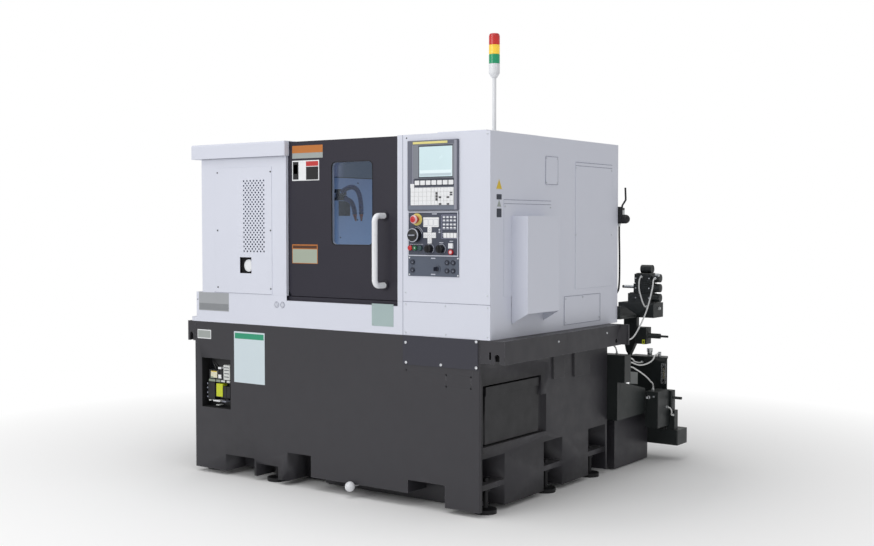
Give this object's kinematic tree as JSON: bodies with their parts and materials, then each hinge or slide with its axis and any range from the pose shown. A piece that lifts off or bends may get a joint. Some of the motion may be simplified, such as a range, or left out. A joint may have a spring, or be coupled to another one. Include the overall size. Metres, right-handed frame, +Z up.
{
  "type": "cnc turning lathe",
  "caption": "Enclosed slant-bed turning lathe with a sliding front door, a control column, an indexing tool turret and a hydraulic unit behind.",
  "frame": {"origin": "middle of the machine's footprint, on the floor under the levelling feet", "axes": "+X to the machine's right as its operator sees it, from the headstock to the control column; -Y towards the operator; +Z up"},
  "size_m": [2.163, 1.961, 2.217],
  "materials": {
    "casing": "satin",
    "door_paint": "satin",
    "base_paint": "satin",
    "rear_paint": "satin",
    "plate_paint": "satin",
    "bare_steel": "ground",
    "glass": "clear",
    "white_plastic": "smooth",
    "lens_plastic": "smooth",
    "unit_plastic": "fine grain",
    "black_plastic": "fine grain",
    "red_plastic": "smooth",
    "green_plastic": "smooth",
    "drawer_steel": "satin",
    "cast_paint": "painted",
    "turret_steel": "ground",
    "liner_paint": "satin",
    "hose_plastic": "smooth",
    "belt_rubber": "matte",
    "lead_rubber": "matte"
  },
  "bodies": {
    "machine": {"base": "base_paint", "base_cover_plate": "plate_paint", "levelling_feet": "bare_steel", "breaker_panel": "base_paint", "drain_cap": "white_plastic", "coolant_tank": "base_paint", "apron": "casing", "left_cover": "casing", "vent_panel": "casing", "hood": "casing", "cabinet": "casing", "column_plate": "casing", "side_panels": "casing", "duct_hood": "casing", "door_rails": "bare_steel", "display_unit": "unit_plastic", "operator_panel": "unit_plastic", "socket_plate": "unit_plastic", "lamp_pole": "white_plastic", "lamp_lenses": "lens_plastic", "slant_bed": "cast_paint", "headstock": "cast_paint", "spindle_motor": "cast_paint", "drive_belts": "belt_rubber", "chamber_liner": "liner_paint", "coolant_hoses": "hose_plastic", "rear_duct": "base_paint", "rear_box": "base_paint", "hydraulic_tank": "rear_paint", "pump_box": "rear_paint", "hydraulic_pump": "rear_paint", "valve_manifold": "rear_paint", "air_regulator": "black_plastic", "rear_leads": "lead_rubber"},
    "door_leaf": {"door": "door_paint", "door_glass": "glass", "door_handle": "white_plastic"},
    "drawer": {"chip_drawer": "drawer_steel"},
    "spindle_line": {"spindle": "bare_steel", "chuck": "bare_steel", "draw_cylinder": "bare_steel"},
    "jaw_1": {"chuck_jaw_1": "bare_steel"},
    "jaw_2": {"chuck_jaw_2": "bare_steel"},
    "jaw_3": {"chuck_jaw_3": "bare_steel"},
    "small_pulley": {"motor_pulley": "black_plastic"},
    "carriage": {"saddle": "cast_paint"},
    "long_screw": {"z_screw": "bare_steel"},
    "cross_screw": {"x_screw": "bare_steel"},
    "cross_slide": {"turret_housing": "cast_paint"},
    "turret": {"turret_disc": "turret_steel"},
    "stop_mushroom": {"emergency_button": "red_plastic"},
    "jog_wheel": {"handwheel": "black_plastic"},
    "feed_dial": {"feed_knob": "black_plastic"},
    "speed_dial": {"speed_knob": "black_plastic"},
    "red_push": {"stop_button": "red_plastic"},
    "green_push": {"start_button": "green_plastic"},
    "hold_push": {"hold_button": "green_plastic"},
    "reset_push": {"reset_button": "red_plastic"},
    "square_push": {"square_button": "white_plastic"},
    "key": {"key_switch": "black_plastic"}
  },
  "joints": [
    {"name": "door_slide", "type": "slide", "parent": "machine", "child": "door_leaf", "axis": [-1, 0, 0], "range_m": [0, 0.57]},
    {"name": "drawer_slide", "type": "slide", "parent": "machine", "child": "drawer", "axis": [1, 0, 0], "range_m": [0, 0.55]},
    {"name": "spindle_spin", "type": "hinge", "parent": "machine", "child": "spindle_line", "pos_m": [-0.3595, -0.5745, 1.12], "axis": [1, 0, 0], "continuous": true},
    {"name": "jaw_1_slide", "type": "slide", "parent": "spindle_line", "child": "jaw_1", "axis": [0, 0, 1], "range_m": [0, 0.003]},
    {"name": "jaw_2_slide", "type": "slide", "parent": "spindle_line", "child": "jaw_2", "axis": [0, -0.866, -0.5], "range_m": [0, 0.003]},
    {"name": "jaw_3_slide", "type": "slide", "parent": "spindle_line", "child": "jaw_3", "axis": [0, 0.866, -0.5], "range_m": [0, 0.003]},
    {"name": "motor_pulley_spin", "type": "hinge", "parent": "machine", "child": "small_pulley", "pos_m": [-0.7985, 0.0905, 1.48173], "axis": [1, 0, 0], "continuous": true},
    {"name": "z_slide", "type": "slide", "parent": "machine", "child": "carriage", "axis": [1, 0, 0], "range_m": [-0.185, 0.018]},
    {"name": "z_screw_turn", "type": "hinge", "parent": "machine", "child": "long_screw", "pos_m": [0.1805, -0.26408, 1.13909], "axis": [1, 0, 0], "range_deg": [-6661, 649]},
    {"name": "x_slide", "type": "slide", "parent": "carriage", "child": "cross_slide", "axis": [0, 0.7071, 0.7071], "range_m": [-0.14, 0.02]},
    {"name": "x_screw_turn", "type": "hinge", "parent": "carriage", "child": "cross_screw", "pos_m": [0.1805, -0.23565, 1.24784], "axis": [0, 0.7071, 0.7071], "range_deg": [-8401, 1201]},
    {"name": "turret_index", "type": "hinge", "parent": "cross_slide", "child": "turret", "pos_m": [0.0552, -0.34115, 1.35335], "axis": [1, 0, 0], "continuous": true},
    {"name": "emergency_push", "type": "slide", "parent": "machine", "child": "stop_mushroom", "axis": [0, 1, 0], "range_m": [0, 0.005]},
    {"name": "handwheel_turn", "type": "hinge", "parent": "machine", "child": "jog_wheel", "pos_m": [0.4785, -0.9045, 1.297], "axis": [0, 1, 0], "continuous": true},
    {"name": "feed_knob_turn", "type": "hinge", "parent": "machine", "child": "feed_dial", "pos_m": [0.5615, -0.9045, 1.234], "axis": [0, 1, 0], "range_deg": [-135, 135]},
    {"name": "speed_knob_turn", "type": "hinge", "parent": "machine", "child": "speed_dial", "pos_m": [0.6275, -0.9045, 1.234], "axis": [0, 1, 0], "range_deg": [-60, 60]},
    {"name": "stop_push", "type": "slide", "parent": "machine", "child": "red_push", "axis": [0, 1, 0], "range_m": [0, 0.003], "stiffness_N_per_m": 400, "springref_m": -0.001},
    {"name": "start_push", "type": "slide", "parent": "machine", "child": "green_push", "axis": [0, 1, 0], "range_m": [0, 0.003], "stiffness_N_per_m": 400, "springref_m": -0.001},
    {"name": "hold_push_in", "type": "slide", "parent": "machine", "child": "hold_push", "axis": [0, 1, 0], "range_m": [0, 0.003], "stiffness_N_per_m": 400, "springref_m": -0.001},
    {"name": "reset_push_in", "type": "slide", "parent": "machine", "child": "reset_push", "axis": [0, 1, 0], "range_m": [0, 0.003], "stiffness_N_per_m": 400, "springref_m": -0.001},
    {"name": "square_push_in", "type": "slide", "parent": "machine", "child": "square_push", "axis": [0, 1, 0], "range_m": [0, 0.003], "stiffness_N_per_m": 400, "springref_m": -0.001},
    {"name": "key_turn", "type": "hinge", "parent": "machine", "child": "key", "pos_m": [0.6035, -0.9045, 1.141], "axis": [0, 1, 0], "range_deg": [0, 90]}
  ],
  "couplings": [
    {"joint": "jaw_2_slide", "follows": "jaw_1_slide", "ratio": 1},
    {"joint": "jaw_3_slide", "follows": "jaw_1_slide", "ratio": 1},
    {"joint": "motor_pulley_spin", "follows": "spindle_spin", "ratio": 1.5263},
    {"joint": "z_screw_turn", "follows": "z_slide", "rad_per_m": 628.32},
    {"joint": "x_screw_turn", "follows": "x_slide", "rad_per_m": 1047.2}
  ]
}
